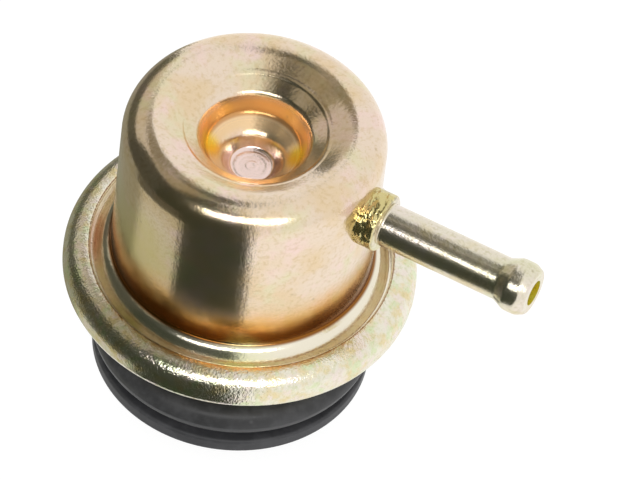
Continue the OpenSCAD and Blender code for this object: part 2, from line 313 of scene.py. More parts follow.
class Graph:
    """Adds and joins shader nodes in one node tree."""

    CLOUD_MEAN = 0.5

    def __init__(self, tree: Tree) -> None:
        """Keeps the tree that the nodes go into."""
        self.tree = tree

    def feed(self, socket: Socket, value: Any) -> None:
        """Joins a socket to an input, or sets the input's own value.

        Args:
            socket: The input.
            value: A socket, or the input's value. A colour comes without its alpha.
        """
        if isinstance(value, Socket):
            self.tree.links.new(value, socket)
        elif socket.type == "RGBA":
            socket.default_value = (*value, 1.0)
        else:
            socket.default_value = value

    def fill(self, node: Node, inputs: Dict[Any, Any]) -> None:
        """Feeds some of a node's inputs, by name or number."""
        for key, value in inputs.items():
            self.feed(node.inputs[key], value)

    def add(self, kind: str, inputs: Optional[Dict[Any, Any]] = None, **settings: Any) -> Node:
        """Adds a node.

        Args:
            kind: The node's type name.
            inputs: Values or sockets by input name or number.
            settings: The node's own settings.

        Returns:
            The new node.
        """
        node = self.tree.nodes.new(kind)
        for key, value in settings.items():
            setattr(node, key, value)
        self.fill(node, inputs or {})
        return node

    def math(self, operation: str, a: Any, b: Any = 0.0, clamp: bool = False) -> Socket:
        """Result of a sum of one or two values."""
        node = self.add("ShaderNodeMath", {0: a, 1: b}, operation=operation, use_clamp=clamp)
        return node.outputs[0]

    def plus(self, a: Any, b: Any, share: Any) -> Socket:
        """Value a with a share of value b added."""
        return self.math("ADD", a, self.math("MULTIPLY", b, share))

    def step(
        self, value: Any, low: float, high: float, start: float = 0.0, end: float = 1.0
    ) -> Socket:
        """A result eased from start to end while a value goes from low to high."""
        inputs = {0: value, 1: low, 2: high, 3: start, 4: end}
        return self.add("ShaderNodeMapRange", inputs, interpolation_type="SMOOTHSTEP").outputs[0]

    def mix(self, share: Any, a: Any, b: Any, blend: str = "MIX") -> Socket:
        """Colour a with a share of colour b laid over it."""
        node = self.add("ShaderNodeMix", {0: share, 6: a, 7: b}, data_type="RGBA", blend_type=blend)
        return node.outputs[2]

    def noise(self, vector: Any, scale: Any, detail: float = 2.0, rough: float = 0.5) -> Socket:
        """A cloud about its mean, with a scale per millimetre and finer layers of detail."""
        inputs = {"Vector": vector, "Scale": scale, "Detail": detail, "Roughness": rough}
        return self.add("ShaderNodeTexNoise", inputs).outputs[0]

    def vector(self, operation: str, a: Any, b: Triple) -> Socket:
        """A position moved or stretched by three values."""
        node = self.add("ShaderNodeVectorMath", {0: a, 1: b}, operation=operation)
        return node.outputs[0]

    def level(self, lit: float, seen: float) -> Socket:
        """Parts the light that falls on the part from the light that is seen.

        Args:
            lit: Level for the rays that light the part.
            seen: Level for the rays that come from the camera, a gloss or a pane.

        Returns:
            The ray's level.
        """
        path = self.add("ShaderNodeLightPath").outputs
        rays = self.math("MAXIMUM", path["Is Camera Ray"], path["Is Glossy Ray"])
        rays = self.math("MAXIMUM", rays, path["Is Transmission Ray"])
        return self.step(rays, 0.0, 1.0, lit, seen)

    def group(self, tree: Tree, **values: Any) -> Node:
        """Places a node group, with values or sockets by input name."""
        return self.add("ShaderNodeGroup", values, node_tree=tree)


class Effects:
    """Shader node groups that more than one finish uses, each built once."""

    @staticmethod
    def start(
        name: str, inputs: Dict[str, str], outputs: Dict[str, str]
    ) -> Tuple[Graph, Any, Node]:
        """Begins a group.

        Args:
            name: The group's name.
            inputs: The kind of each input by name.
            outputs: The kind of each output by name.

        Returns:
            The graph to build in, the sockets of the inputs, and the output node.
        """
        tree = bpy.data.node_groups.new(name, "ShaderNodeTree")
        for way, sockets in (("INPUT", inputs), ("OUTPUT", outputs)):
            for label, kind in sockets.items():
                tree.interface.new_socket(label, in_out=way, socket_type="NodeSocket" + kind)
        g = Graph(tree)
        return g, g.add("NodeGroupInput").outputs, g.add("NodeGroupOutput")

    @staticmethod
    @cache
    def place() -> Tree:
        """Group for the surface point in millimetres.

        Returns:
            The group, which also gives the point's radius and height.
        """
        kinds = {"Point": "Vector", "Radius": "Float", "Height": "Float"}
        g, _, out = Effects.start("place", {}, kinds)
        coords = g.add("ShaderNodeTexCoord").outputs["Object"]
        point = g.vector("MULTIPLY", coords, (1 / MM, 1 / MM, 1 / MM))
        x, y, z = g.add("ShaderNodeSeparateXYZ", {0: point}).outputs
        flat = g.add("ShaderNodeCombineXYZ", {0: x, 1: y}).outputs[0]
        length = g.add("ShaderNodeVectorMath", {0: flat}, operation="LENGTH")
        g.fill(out, {"Point": point, "Radius": length.outputs["Value"], "Height": z})
        return g.tree

    @staticmethod
    @cache
    def film() -> Tree:
        """Group for the shifting tints of a chromate film.

        Returns:
            The group, which also gives the cloud that shifts them.
        """
        tints = dict.fromkeys(("Pale", "Gold", "Green", "Pink"), "Color")
        g, given, out = Effects.start(
            "film",
            {"Point": "Vector", "Patch": "Float", **tints},
            {"Tint": "Color", "Cloud": "Float"},
        )
        point = given["Point"]
        scale = g.math("DIVIDE", 1.0, given["Patch"])
        cloud = g.noise(point, scale, 3.0, 0.55)
        green = g.noise(g.vector("ADD", point, (31, 7, 5)), scale, 3.0, 0.6)
        pink = g.noise(g.vector("ADD", point, (-13, 41, 17)), scale, 3.0, 0.6)
        tint = g.mix(g.step(cloud, 0.4, 0.66), given["Pale"], given["Gold"])
        tint = g.mix(g.step(green, 0.5, 0.68), tint, given["Green"])
        tint = g.mix(g.step(pink, 0.5, 0.68), tint, given["Pink"])
        mottle = g.noise(g.vector("ADD", point, (5, 23, -9)), 1.9, 3.0, 0.65)
        patches = g.step(mottle, 0.46, 0.7, 0.0, 0.4)
        tint = g.mix(patches, tint, given["Green"], "MULTIPLY")
        g.fill(out, {"Tint": tint, "Cloud": cloud})
        return g.tree

    @staticmethod
    @cache
    def peel() -> Tree:
        """Group for the fine pebbled face of plated or moulded surfaces.

        Returns:
            The group.
        """
        kinds = {"Point": "Vector", "Grain": "Float"}
        g, given, out = Effects.start("peel", kinds, {"Height": "Float"})
        point = given["Point"]
        scale = g.math("DIVIDE", 1.0, given["Grain"])
        fine = g.noise(point, scale, 2.0, 0.5)
        coarse = g.math("MULTIPLY", scale, 0.3)
        broad = g.noise(g.vector("ADD", point, (3, 19, 11)), coarse, 1.0, 0.4)
        g.fill(out, {"Height": g.plus(fine, broad, 0.6)})
        return g.tree

    @staticmethod
    @cache
    def specks() -> Tree:
        """Group for scattered small marks.

        Returns:
            The group.
        """
        kinds = {"Point": "Vector", "Spacing": "Float"}
        g, given, out = Effects.start("specks", kinds, {"Mask": "Float"})
        point = given["Point"]
        scale = g.math("DIVIDE", 1.0, given["Spacing"])
        cells = g.add("ShaderNodeTexVoronoi", {"Vector": point, "Scale": scale})
        near = g.step(cells.outputs["Distance"], 0.04, 0.16, 1.0, 0.0)
        some = g.step(g.noise(point, 0.4, 2.0), 0.5, 0.62)
        g.fill(out, {"Mask": g.math("MULTIPLY", near, some)})
        return g.tree


class Surface(Graph):
    """The graph of one material, with its shader and the places on the piece."""

    SMOOTHER = 0.06
    ROUGHER = 0.08

    def __init__(self, name: str) -> None:
        """Makes a material.

        Args:
            name: The material's name.
        """
        self.material = bpy.data.materials.new(name)
        self.material.use_nodes = True
        super().__init__(self.material.node_tree)
        self.shader = self.tree.nodes["Principled BSDF"]

    @cached_property
    def place(self) -> Any:
        """Sockets for the surface point, its radius and its height."""
        return self.group(Effects.place()).outputs

    def peel(self, grain: float) -> Socket:
        """Height of a pebbled face with a grain in millimetres."""
        return self.group(Effects.peel(), Point=self.place["Point"], Grain=grain).outputs[0]

    def specks(self, spacing: float, amount: float) -> Socket:
        """Where small marks lie at a spacing in millimetres, up to an amount."""
        marks = self.group(Effects.specks(), Point=self.place["Point"], Spacing=spacing)
        return self.math("MULTIPLY", marks.outputs[0], amount)

    def bump(self, height: Any, depth: float) -> None:
        """Feeds a height in parts of depth, in millimetres, to the shader's normal."""
        node = self.add("ShaderNodeBump", {"Height": height, "Distance": depth * MM})
        self.feed(self.shader.inputs["Normal"], node.outputs[0])

    def roughen(self, cloud: Any, rough: float) -> None:
        """Lets a cloud vary the shader's roughness about a value."""
        value = self.step(cloud, 0.3, 0.7, rough - self.SMOOTHER, rough + self.ROUGHER)
        self.feed(self.shader.inputs["Roughness"], value)


@dataclass(frozen=True)
class Spot:
    """A patch of tint laid on the film at a place in millimetres, used here for painted reflections
    and shade.
    """

    INNER = 0.7
    OUTER = 1.5

    at: Triple
    radius: float
    colour: Colour
    amount: float
    cover: float = 0.0

    def mask(self, g: Surface, cloud: Any) -> Socket:
        """Finds where the spot lies.

        Args:
            g: The material's graph.
            cloud: The cloud that frays its edge.

        Returns:
            Its amount where it lies, and zero elsewhere.
        """
        ends = {0: g.place["Point"], 1: self.at}
        away = g.add("ShaderNodeVectorMath", ends, operation="DISTANCE").outputs["Value"]
        frayed = g.plus(away, cloud, self.radius)
        return g.step(frayed, self.radius * self.INNER, self.radius * self.OUTER, self.amount, 0.0)


@dataclass(frozen=True)
class Band:
    """A band of film or relief, in from a to b and out from c to d, in millimetres."""

    along: Along
    limits: Limits
    colour: Colour = BLACK
    amount: float = 1.0
    cover: float = 0.0
    ragged: float = 0.0

    def mask(self, g: Surface, cloud: Any = Graph.CLOUD_MEAN) -> Socket:
        """Finds where the band lies.

        Args:
            g: The material's graph.
            cloud: The cloud that moves its edges where it is ragged.

        Returns:
            Its amount where it lies, and zero elsewhere.
        """
        a, b, c, d = self.limits
        value = g.place[self.along.value]
        if self.ragged:
            value = g.plus(value, g.math("SUBTRACT", cloud, g.CLOUD_MEAN), self.ragged)
        return g.math("MULTIPLY", g.step(value, a, b), g.step(value, c, d, self.amount, 0.0))


@dataclass(frozen=True)
class Finish:
    """Base of every finish: a named material with one surface shader."""

    name: str

    def make(self) -> Material:
        """Builds the material."""
        raise NotImplementedError


@dataclass(frozen=True)
class PlatedFinish(Finish):
    """Yellow chromate on zinc: a thin film whose tint shifts over bright metal."""

    SPECK_SPACING = 1.7
    SPECK_AMOUNT = 0.35
    SPECK_COLOUR = (0.30, 0.24, 0.15)
    SHINE = 0.15
    ROUGH_SWING = 0.16
    DRAWN = (2.4, 2.4, 0.05)
    FOLDED = (1.6, 1.0, 1.0)

    pale: Colour = (0.81, 0.67, 0.53)
    gold: Colour = (0.78, 0.61, 0.40)
    green: Colour = (0.76, 0.68, 0.46)
    pink: Colour = (0.85, 0.66, 0.58)
    patch: float = 6.0
    grain: float = 0.3
    depth: float = 0.012
    streaks: float = 0.0
    rough: float = 0.2
    metallic: float = 1.0
    layers: Tuple[Union[Band, Spot], ...] = ()
    ridges: Tuple[Band, ...] = ()
    crinkle: Optional[Band] = None

    def colours(self, g: Surface, tint: Any, cloud: Any) -> Tuple[Any, Any]:
        """Lays the layers and the specks over the film.

        Args:
            g: The material's graph.
            tint: The film's tint.
            cloud: The film's cloud.

        Returns:
            The colour, and how metallic the surface is.
        """
        metal: Any = self.metallic
        for layer in self.layers:
            mask = layer.mask(g, cloud)
            tint = g.mix(mask, tint, layer.colour)
            if layer.cover:
                metal = g.math("SUBTRACT", metal, g.math("MULTIPLY", mask, layer.cover), clamp=True)
        share = g.specks(self.SPECK_SPACING, self.SPECK_AMOUNT)
        return g.mix(share, tint, self.SPECK_COLOUR), metal

    def relief(self, g: Surface) -> Socket:
        """Adds up the plating's grain, drawn streaks, ridges and folds.

        Args:
            g: The material's graph.

        Returns:
            The height, in parts of the depth.
        """
        point = g.place["Point"]
        height = g.peel(self.grain)
        if self.streaks:
            drawn = g.noise(g.vector("MULTIPLY", point, self.DRAWN), 1.0, 3.0, 0.6)
            height = g.plus(height, drawn, self.streaks)
        for ridge in self.ridges:
            height = g.math("ADD", height, ridge.mask(g))
        if self.crinkle:
            folds = g.noise(g.vector("MULTIPLY", point, self.FOLDED), 0.7, 2.0, 0.45)
            height = g.plus(height, folds, self.crinkle.mask(g))
        return height

    def make(self) -> Material:
        """Builds the material.

        Returns:
            The new material.
        """
        g = Surface(self.name)
        film = g.group(
            Effects.film(), Point=g.place["Point"], Patch=self.patch,
            Pale=self.pale, Gold=self.gold, Green=self.green, Pink=self.pink,
        ).outputs
        tint, metal = self.colours(g, film["Tint"], film["Cloud"])
        swing = g.math("SUBTRACT", film["Cloud"], g.CLOUD_MEAN)
        swing = g.math("MULTIPLY", swing, self.ROUGH_SWING)
        g.fill(g.shader, {
            "Base Color": tint,
            "Metallic": metal,
            "Specular IOR Level": self.SHINE,
            "Roughness": g.math("ADD", swing, self.rough, clamp=True),
        })
        g.bump(self.relief(g), self.depth)
        return g.material


@dataclass(frozen=True)
class RubberFinish(Finish):
    """Black moulded rubber or plastic with a satin face."""

    DUST_SPACING = 2.3
    DUST_AMOUNT = 0.4
    DUST_COLOUR = (0.16, 0.16, 0.16)
    SHINE = 0.3

    dark: Colour = (0.038, 0.038, 0.039)
    worn: Colour = (0.060, 0.060, 0.062)
    rough: float = 0.42
    grain: float = 0.25
    depth: float = 0.008

    def make(self) -> Material:
        """Builds the material.

        Returns:
            The new material.
        """
        g = Surface(self.name)
        cloud = g.noise(g.place["Point"], 0.5, 4.0, 0.6)
        dust = g.specks(self.DUST_SPACING, self.DUST_AMOUNT)
        tint = g.mix(g.step(cloud, 0.35, 0.7), self.dark, self.worn)
        tint = g.mix(dust, tint, self.DUST_COLOUR)
        g.fill(g.shader, {"Base Color": tint, "Specular IOR Level": self.SHINE})
        g.roughen(cloud, self.rough)
        g.bump(g.peel(self.grain), self.depth)
        return g.material


@dataclass(frozen=True)
class MetalFinish(Finish):
    """Bare worked metal with turned, drawn or rolled marks."""

    bright: Colour
    dull: Colour
    rough: float
    marks: Triple = (0.2, 0.2, 6.0)
    depth: float = 0.01

    def make(self) -> Material:
        """Builds the material.

        Returns:
            The new material.
        """
        g = Surface(self.name)
        cloud = g.noise(g.place["Point"], 0.35, 3.0, 0.6)
        ring = g.add("ShaderNodeCombineXYZ", {0: g.place["Radius"], 2: g.place["Height"]})
        lines = g.noise(g.vector("MULTIPLY", ring.outputs[0], self.marks), 1.0, 2.0, 0.6)
        tint = g.mix(g.step(cloud, 0.35, 0.68), self.bright, self.dull)
        g.fill(g.shader, {"Base Color": tint, "Metallic": 1.0})
        g.roughen(lines, self.rough)
        g.bump(lines, self.depth)
        return g.material


@dataclass(frozen=True)
class StageFinish(Finish):
    """Paper or card on the stage, which gives off an even light."""

    glow: Colour = WHITE
    base: Colour = BLACK
    lit: float = 1.0
    seen: float = 1.0

    def make(self) -> Material:
        """Builds the material.

        Returns:
            The new material.
        """
        g = Surface(self.name)
        g.material.cycles.emission_sampling = "NONE"
        even = self.lit == self.seen
        g.fill(g.shader, {
            "Base Color": self.base,
            "Roughness": 1.0,
            "Specular IOR Level": 0.0,
            "Emission Color": self.glow,
            "Emission Strength": self.seen if even else g.level(self.lit, self.seen),
        })
        return g.material


@dataclass
class Piece:
    """Sets a made object in the frame and dresses it."""

    nodes: Tuple[str, ...]
    slot: Slot
    finish: Finish
    body: Body = Body.CASING

    def place(self, obj: Object, ride: bool = True) -> Object:
        """Dresses a made object and lets it stand for its nodes.

        Args:
            obj: The object.
            ride: Whether it rides on its body; when not, it is left unattached.

        Returns:
            The same object.
        """
        obj.data.materials.clear()
        obj.data.materials.append(self.finish.make())
        if ride:
            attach(obj, self.body.value)
        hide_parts(*self.nodes)
        return obj


@dataclass
class SpringHousing:
    """The pressed cup: wall, dished top, stepped setting dimple and clamped flange.

    Each step of the dimple has a radius, a depth below the crest and a bend radius.
    """

    wall_r: float = 14.8
    crest: float = 26.2
    sheet: float = 1.2
    corner: float = 3.3
    foot_r: float = 16.6
    flare: float = 2.1
    flare_run: float = 0.7
    flare_bend: float = 1.5
    clamp_r: float = 18.3
    edge_bend: float = 1.0
    flange_z: float = 2.0
    dish: float = math.radians(26)
    crease_r: float = 8.2
    crease_bend: float = 1.6
    dimple: Tuple[Corner, ...] = (
        (6.3, 2.4, 1.3), (5.4, 4.6, 1.0), (3.5, 6.0, 2.6), (2.5, 7.6, 0.6)
    )
    nipple_z: float = 19.4
    hole_r: float = 2.5
    hole_span: Point = (12.4, 17.0)

    def corners(self) -> List[Corner]:
        """Follows the outer face from the flange's edge to the axis.

        Returns:
            Radius, height and an optional bend radius of each corner.
        """
        top = self.flange_z + self.sheet
        corner_z = self.crest - self.corner
        corner_z += self.corner * math.cos(self.dish) / (1 - math.sin(self.dish))
        crease_z = corner_z - (self.wall_r - self.crease_r) * math.tan(self.dish)
        steps = [(r, self.crest - depth, bend) for r, depth, bend in self.dimple]
        return [
            (self.clamp_r, self.flange_z),
            (self.clamp_r, top, self.edge_bend),
            (self.foot_r, top, FILLET),
            (self.wall_r + self.flare_run, top + self.flare - FILLET, self.flare_bend),
            (self.wall_r, top + self.flare, FILLET),
            (self.wall_r, corner_z, self.corner),
            (self.crease_r, crease_z, self.crease_bend),
            *steps,
            (0.0, steps[-1][1]),
        ]

    @staticmethod
    def finish() -> PlatedFinish:
        """The cup's film with the dimple's rings, and painted reflections and shade at the wall's
        foot (partly a real stain), round the flare and inside the dimple.

        Returns:
            The finish.
        """
        layers = (
            # Painted reflection: a darker green-gold patch on the wall's left side, where the wall
            # mirrors darker surroundings.
            Spot((-8.8, -11.8, 13.0), 10.0, (0.69, 0.59, 0.26), 0.85),
            # Partly a real stain, partly a painted reflection: an orange glow low on the wall,
            # where it mirrors the rim.
            Band(Along.HEIGHT, (3.0, 4.0, 8.2, 12.6), (0.82, 0.46, 0.14), 0.95, 0.18, 5.0),
            # Partly a real stain, partly painted shade: dark brown at the wall's foot, in the
            # shaded corner with the flange.
            Band(Along.HEIGHT, (3.0, 4.0, 6.8, 9.8), (0.24, 0.085, 0.012), 0.95, -0.18, 4.0),
            # Painted highlight: a paler film over the flare and flange, which also ends the foot
            # bands there.
            Band(Along.RADIUS, (14.95, 15.3, 17.6, 18.4), (0.89, 0.83, 0.68), 0.95),
            # Painted reflections inside the dimple: the funnel's orange and the ledge's tan stand
            # for light bounced in the hollow, partly laid on as plain colour.
            Band(Along.RADIUS, (4.7, 5.5, 5.8, 6.4), (0.86, 0.46, 0.15), 1.0, 0.4),
            Band(Along.RADIUS, (3.0, 4.4, 4.8, 5.6), (0.85, 0.61, 0.35), 1.0, 0.25),
            # Painted shade: a dark-brown line in the crease at the funnel's foot.
            Band(Along.RADIUS, (4.9, 5.2, 5.3, 5.7), (0.52, 0.24, 0.07), 0.7, -0.2),
            Band(Along.RADIUS, (-2.0, -1.0, 2.6, 3.4), (0.86, 0.68, 0.62)),
            # Painted reflections: yellow patches on the dimple's left and right flanks.
            Spot((-4.5, -1.9, 21.3), 2.2, (0.90, 0.62, 0.04), 0.9),
            Spot((4.5, 1.9, 21.3), 2.2, (0.90, 0.62, 0.04), 0.9),
            # Painted reflections and shade round the flare: pinkish brown on the left, dark olive
            # at the front left, lime at the front right.
            Spot((-15.2, -6.4, 1.6), 5.5, (0.70, 0.46, 0.34), 0.8),
            Spot((-6.2, -15.2, 1.6), 4.0, (0.52, 0.52, 0.24), 0.7),
            Spot((7.5, -14.4, 1.6), 6.0, (0.82, 0.84, 0.46), 0.8),
        )
        ridges = (
            Band(Along.RADIUS, (1.4, 1.75, 1.85, 2.2), amount=1.3),
            Band(Along.RADIUS, (0.2, 0.45, 0.55, 0.8), amount=0.8),
            Band(Along.RADIUS, (7.9, 8.25, 8.35, 8.7), amount=3.2),
        )
        return PlatedFinish(
            "cup_zinc", grain=0.32, streaks=0.7, depth=0.015, rough=0.19,
            layers=layers, ridges=ridges,
        )

    def build(self) -> Object:
        """Turns the sheet and pierces its wall for the nipple.

        Returns:
            The cup.
        """
        outline = Profile.sheet(self.corners(), self.sheet)
        obj = Maker.lathe("spring_housing_shell", outline)
        tool = Maker.rod("nipple_tool", self.hole_r, self.hole_span, segments=96)
        lift = Matrix.Translation((0, 0, self.nipple_z * MM))
        tool.matrix_world = lift @ Matrix.Rotation(math.pi / 2, 4, "Y")
        Maker.carve(obj, tool)
        return Piece(("spring_housing",), Slot.ZINC, self.finish()).place(obj)


@dataclass
class LowerHousing:
    """The drawn housing: inlet floor, seal wall, pilot, flange and rolled rim."""

    sheet: float = 1.1
    rim_r: float = 20.0
    rim_top: float = 4.3
    rim_bend: float = 2.5
    lip_r: float = 17.0
    lip_round: float = 0.4
    pilot_r: float = 16.4
    pilot_z: float = -3.4
    gland_r: float = 12.7
    floor_z: float = -12.3
    neck_r: float = 3.9
    inlet_r: float = 1.3
    inlet_circle: float = 8.0
    inlets: int = 8

    def corners(self) -> List[Corner]:
        """Follows the outer face from the neck to the rolled lip.

        Returns:
            Radius, height and an optional bend radius of each corner.
        """
        tight = self.sheet + INNER_BEND
        return [
            (self.neck_r, self.floor_z),
            (self.gland_r, self.floor_z, tight),
            (self.gland_r, self.pilot_z, FILLET),
            (self.pilot_r, self.pilot_z, tight),
            (self.pilot_r, 0.0),
            (self.rim_r, 0.0, tight),
            (self.rim_r, self.rim_top, self.rim_bend),
            (self.lip_r, self.rim_top),
        ]

    def inlet_tool(self) -> Object:
        """Sets rods on a circle to pierce the inlet holes with.

        Returns:
            All the rods as one object.
        """
        span = (self.floor_z - self.sheet, self.floor_z + 2 * self.sheet)
        tool = Maker.rod("inlet_tool", self.inlet_r, span, segments=40)
        bm = bmesh.new()
        for k in range(self.inlets):
            turn = Matrix.Rotation(2 * math.pi * k / self.inlets, 4, "Z")
            copy = tool.data.copy()
            copy.transform(turn @ Matrix.Translation((self.inlet_circle * MM, 0, 0)))
            bm.from_mesh(copy)
            bpy.data.meshes.remove(copy)
        bm.to_mesh(tool.data)
        bm.free()
        return tool

    def build(self) -> Object:
        """Turns the sheet and pierces the inlet holes.

        Returns:
            The housing.
        """
        outline = Profile.sheet(self.corners(), self.sheet, self.lip_round)
        obj = Maker.lathe("rolled_housing_shell", outline)
        Maker.carve(obj, self.inlet_tool())
        finish = PlatedFinish(
            "rim_zinc",
            (0.82, 0.78, 0.65), (0.78, 0.66, 0.40), (0.71, 0.75, 0.50), (0.84, 0.74, 0.66),
            grain=0.26, depth=0.05, rough=0.21, patch=1.8,
            # Painted shade: a warmer band on the lip's inner edge, for the groove between lip and
            # flare.
            layers=(Band(Along.RADIUS, (16.6, 16.9, 17.0, 17.4), (0.84, 0.72, 0.56), 0.6),),
        )
        return Piece(("lower_housing",), Slot.ZINC, finish).place(obj)


@dataclass
class VacuumNipple:
    """The beaded tube with the collar that saddles the cup's wall."""

    wall_r: float = 14.8
    height: float = 19.4
    reach: float = 35.5
    tube_r: float = 2.5
    bore_r: float = 1.5
    bead_r: float = 3.1
    bead_len: float = 3.8
    bead_rise: float = 1.3
    bead_bend: float = 1.2
    tip_r: float = 2.6
    tip_len: float = 1.0
    collar_r: float = 3.35
    collar_len: float = 2.3
    lap: float = 0.2
    start: float = 13.0
    near: float = 0.01
    braze: Limits = (13.0, 14.0, 16.9, 17.4)
    folds: float = 28.0

    def corners(self) -> List[Corner]:
        """Follows the tube's section, with the distance along the tube as height.

        Returns:
            The corners, with the first one again at the end.
        """
        saddle = self.wall_r - self.lap
        collar_end = self.wall_r + self.collar_len
        bead = self.reach - self.bead_len
        return [
            (self.bore_r, self.start),
            (self.tube_r, self.start),
            (self.tube_r, saddle),
            (self.collar_r, saddle),
            (self.collar_r, collar_end, FILLET),
            (self.tube_r, collar_end),
            (self.tube_r, bead, self.bead_bend),
            (self.bead_r, bead + self.bead_rise, self.bead_bend),
            (self.bead_r, self.reach - self.tip_len, self.bead_bend),
            (self.tip_r, self.reach, FILLET),
            (self.bore_r, self.reach),
            (self.bore_r, self.start),
        ]

    def saddle_collar(self, mesh: Mesh) -> None:
        """Lays the collar's end on the cup's round wall.

        Args:
            mesh: The nipple along the X axis.
        """
        saddle = self.wall_r - self.lap
        for v in mesh.vertices:
            x, y = v.co.x / MM, v.co.y / MM
            across = math.hypot(y, v.co.z / MM)
            if abs(x - saddle) < self.near and across > self.tube_r - self.near:
                v.co.x = math.sqrt(self.wall_r ** 2 - y ** 2) * MM

    def line_bore(self, mesh: Mesh) -> None:
        """Gives the bore a thicker, yellower film.

        Args:
            mesh: The nipple in its place.
        """
        lime = PlatedFinish(
            "bore_zinc",
            (0.80, 0.70, 0.07), (0.76, 0.60, 0.04), (0.72, 0.70, 0.10), (0.84, 0.70, 0.12),
            patch=2.0, metallic=0.4,
        )
        mesh.materials.append(lime.make())
        for face in mesh.polygons:
            across = math.hypot(face.center.y / MM, face.center.z / MM - self.height)
            if across < self.bore_r + self.near:
                face.material_index = 1

    def build(self) -> Object:
        """Turns the tube along X and dresses it.

        Returns:
            The nipple.
        """
        obj = Maker.lathe("nipple_tube", Profile.face(self.corners())[:-1], segments=128)
        obj.data.transform(Matrix.Rotation(math.pi / 2, 4, "Y"))
        self.saddle_collar(obj.data)
        obj.data.transform(Matrix.Translation((0, 0, self.height * MM)))
        finish = PlatedFinish(
            "nipple_zinc",
            (0.77, 0.71, 0.58), (0.74, 0.64, 0.42), (0.72, 0.69, 0.49), (0.80, 0.71, 0.63),
            grain=0.24, depth=0.021, rough=0.24, patch=5.0,
            layers=(Band(Along.RADIUS, self.braze, (0.64, 0.54, 0.22), 0.9),),
            crinkle=Band(Along.RADIUS, self.braze, amount=self.folds),
        )
        Piece(("vacuum_nipple",), Slot.ZINC, finish).place(obj)
        self.line_bore(obj.data)
        return obj


@dataclass
class SealRing:
    """A moulded sealing ring with a fine flash line round its equator."""

    name: str
    node: str
    radius: float
    section: float
    height: float
    flash: float = 0.03
    points: int = 72

    def build(self) -> Object:
        """Turns the ring.

        Returns:
            The ring.
        """
        outline: List[Point] = []
        for k in range(self.points):
            a = 2 * math.pi * k / self.points
            r = self.radius + self.section / 2 * math.cos(a)
            z = self.height + self.section / 2 * math.sin(a)
            if abs(z - self.height) < TINY:
                r += self.flash if r > self.radius else -self.flash
            outline.append((r, z))
        obj = Maker.lathe(self.name, outline)
        finish = RubberFinish(self.name + "_rubber")
        return Piece((self.node,), Slot.SEAL, finish).place(obj)


@dataclass
class MainSpring:
    """The coil spring, with closed ends ground flat, which shortens as the valve lifts."""

    mean_r: float = 7.6
    wire: float = 2.2
    turns: float = 5.0
    closed: float = 1.0
    low: float = 1.0
    high: float = 16.4
    ground: float = 0.2
    gap: float = 0.1
    lift: float = 0.6
    sides: int = 20
    steps: int = 56

    def axis_height(self, turn: float) -> float:
        """Finds the height of the wire's axis.

        Args:
            turn: Number of turns from the lower end.

        Returns:
            The height, in millimetres.
        """
        pitch = self.wire + self.gap
        open_end = self.turns - self.closed
        open_rise = self.high - self.low - 2 * (self.ground + self.closed * pitch)
        share = min(1.0, max(0.0, (turn - self.closed) / (open_end - self.closed)))
        ends = min(turn, self.closed) + max(0.0, turn - open_end)
        return self.low + self.ground + ends * pitch + open_rise * share

    def build(self) -> Object:
        """Sweeps the wire.

        Returns:
            The spring.
        """
        count = round(self.turns * self.steps)
        verts: List[Vector] = []
        for i in range(count + 1):
            turn = i / self.steps
            t = 2 * math.pi * turn
            for s in range(self.sides):
                a = 2 * math.pi * s / self.sides
                r = self.mean_r + self.wire / 2 * math.cos(a)
                z = self.axis_height(turn) + self.wire / 2 * math.sin(a)
                z = min(self.high, max(self.low, z))
                verts.append(Vector((r * math.cos(t), r * math.sin(t), z)))
        faces: List[List[int]] = []
        for i in range(count):
            for s in range(self.sides):
                n = (s + 1) % self.sides
                a, b = i * self.sides, (i + 1) * self.sides
                faces.append([a + s, a + n, b + n, b + s])
        faces.append(list(range(self.sides)))
        faces.append([count * self.sides + s for s in range(self.sides)])
        obj = Maker.finish_mesh("coil_spring", verts, faces)
        finish = MetalFinish(
            "spring_wire", (0.34, 0.34, 0.35), (0.20, 0.20, 0.21), 0.34, (0.6, 0.6, 0.6)
        )
        Piece(("main_spring",), Slot.SPRING, finish).place(obj)
        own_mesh(obj)
        return obj


@dataclass
class Diaphragm:
    """The rubber disc that bends between the clamped edge and the valve."""

    thick: float = 0.9
    clamp_r: float = 18.3
    edge_z: float = 2.0
    cup_r: float = 14.8
    crown_r: float = 13.2
    crown_z: float = 4.2
    foot_r: float = 10.4
    middle_z: float = 0.0
    hole_r: float = 2.2

    def build(self) -> Object:
        """Turns the disc and leaves it attached to neither body.

        Returns:
            The disc.
        """
        tight = self.thick + INNER_BEND
        corners = [
            (self.clamp_r, self.edge_z),
            (self.cup_r, self.edge_z, FILLET),
            (self.crown_r, self.crown_z, tight),
            (self.foot_r + self.thick, self.crown_z, tight),
            (self.foot_r, self.middle_z, FILLET),
            (self.hole_r, self.middle_z),
        ]
        obj = Maker.lathe("diaphragm_disc", Profile.sheet(corners, self.thick), segments=160)
        finish = RubberFinish(
            "diaphragm_cloth", (0.030, 0.024, 0.020), (0.055, 0.045, 0.036), 0.6, 0.5, 0.03
        )
        Piece(("diaphragm",), Slot.DIAPHRAGM, finish).place(obj, ride=False)
        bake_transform(obj)
        return obj


